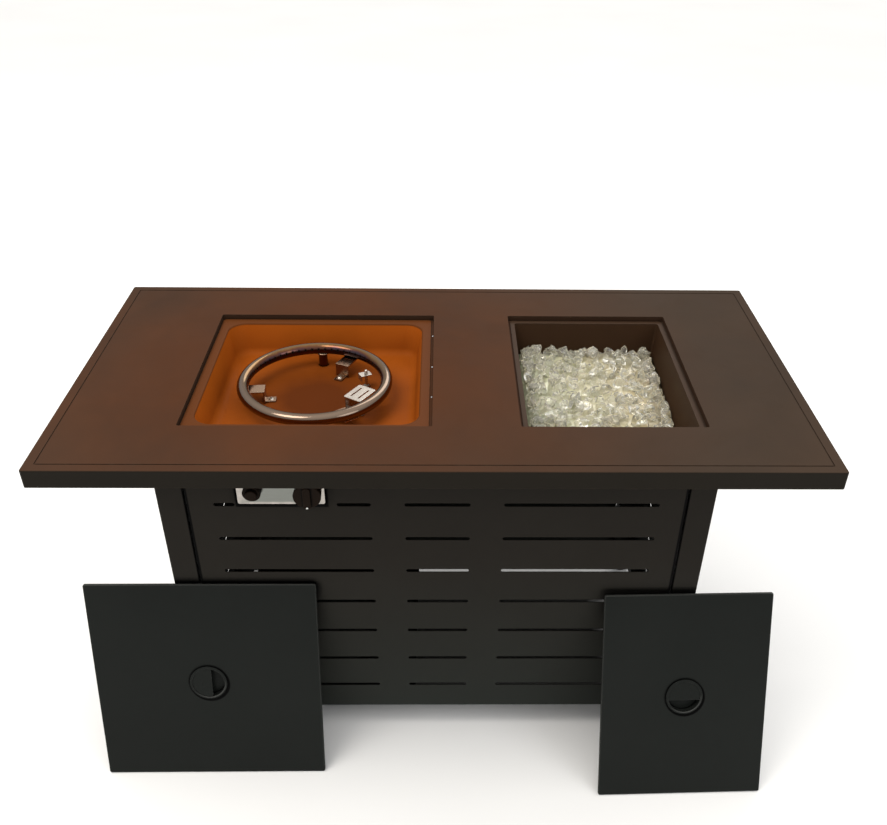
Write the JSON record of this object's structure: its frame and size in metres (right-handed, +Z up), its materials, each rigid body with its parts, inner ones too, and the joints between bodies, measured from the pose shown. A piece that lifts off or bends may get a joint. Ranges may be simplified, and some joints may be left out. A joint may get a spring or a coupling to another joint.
{
  "type": "gas fire pit table",
  "caption": "Rectangular steel gas fire pit table with a ring burner in a drawn pan, a storage bin of clear glass, a slotted base, a control plate and two lift-off lids leaning on the front.",
  "frame": {"origin": "middle of the floor area taken up by the table and its two leaning lids, on the floor", "axes": "+X along the table, from the burner end to the bin end; +Y from the front with the controls to the back; +Z up"},
  "size_m": [1.12, 0.6662, 0.6],
  "materials": {
    "bronze_paint": "satin brown-black powder coat",
    "base_paint": "satin black powder coat",
    "pan_paint": "satin heat-resistant coat",
    "lid_paint": "satin black powder coat",
    "stainless": "brushed and polished",
    "zinc_steel": "zinc plated",
    "brass": "machined",
    "valve_aluminium": "die cast, plain",
    "black_plastic": "fine grain",
    "black_rubber": "matt",
    "white_mark": "paint filled",
    "white_ceramic": "unglazed, smooth",
    "clear_glass": "clear, tumbled lumps"
  },
  "bodies": {
    "table": {"air_mixer": "zinc_steel", "back_panel": "base_paint", "bin_ledge": "bronze_paint", "bottom_rails": "base_paint", "bracket_screws": "stainless", "burner_brackets": "stainless", "burner_ledge": "bronze_paint", "burner_pan": "pan_paint", "control_gasket": "black_rubber", "control_plate": "stainless", "control_valve": "valve_aluminium", "cylinder_ring": "base_paint", "cylinder_tray": "base_paint", "fixed_hinge_leaves": "zinc_steel", "fixed_hinge_screws": "zinc_steel", "flame_sensor": "stainless", "front_panel": "base_paint", "gas_orifice": "brass", "glass_bed": "clear_glass", "glass_chunks": "clear_glass", "glide_feet": "black_plastic", "heat_shield": "zinc_steel", "hinge_pins": "zinc_steel", "igniter_battery": "zinc_steel", "igniter_hood": "stainless", "igniter_housing": "black_plastic", "igniter_nut": "black_plastic", "magnet_catch": "black_plastic", "post_back_left": "base_paint", "post_back_right": "base_paint", "post_front_left": "base_paint", "post_front_right": "base_paint", "right_panel": "base_paint", "ring_burner": "stainless", "spark_electrode": "white_ceramic", "storage_bin": "pan_paint", "supply_tube": "valve_aluminium", "table_top": "bronze_paint", "top_rails": "base_paint", "top_stiffeners": "base_paint", "valve_inlet_fitting": "brass", "valve_screws": "zinc_steel"},
    "door": {"access_door": "base_paint", "door_knob": "base_paint", "door_hinge_leaves": "zinc_steel", "door_hinge_screws": "zinc_steel", "strike_plate": "zinc_steel"},
    "valve_push_rod": {"valve_plunger": "zinc_steel"},
    "knob": {"control_knob": "black_plastic", "knob_pointer_dot": "white_mark", "valve_stem": "zinc_steel"},
    "button": {"igniter_button": "black_plastic"},
    "left_lid": {"burner_lid": "lid_paint", "burner_lid_pull": "black_plastic", "burner_lid_braces": "lid_paint", "burner_lid_pads": "black_rubber"},
    "right_lid": {"bin_lid": "lid_paint", "bin_lid_pull": "black_plastic", "bin_lid_braces": "lid_paint", "bin_lid_pads": "black_rubber"}
  },
  "joints": [
    {"name": "door_hinge", "type": "hinge", "parent": "table", "child": "door", "pos_m": [-0.4137, 0.22481, 0.315], "axis": [0, 0, -1], "range_deg": [0, 105]},
    {"name": "knob_press", "type": "slide", "parent": "table", "child": "valve_push_rod", "axis": [0, 1, 0], "range_m": [0, 0.004], "stiffness_N_per_m": 800, "springref_m": -0.002},
    {"name": "knob_turn", "type": "hinge", "parent": "valve_push_rod", "child": "knob", "pos_m": [-0.186, -0.20094, 0.5265], "axis": [0, -1, 0], "range_deg": [0, 200]},
    {"name": "igniter_press", "type": "slide", "parent": "table", "child": "button", "axis": [0, 1, 0], "range_m": [0, 0.004], "stiffness_N_per_m": 600, "springref_m": -0.002},
    {"name": "left_lid_lift", "type": "slide", "parent": "table", "child": "left_lid", "axis": [0.0034, -0.9668, 0.2554], "range_m": [0, 0.25]},
    {"name": "right_lid_lift", "type": "slide", "parent": "table", "child": "right_lid", "axis": [0.0234, -0.9229, 0.3843], "range_m": [0, 0.25]}
  ]
}
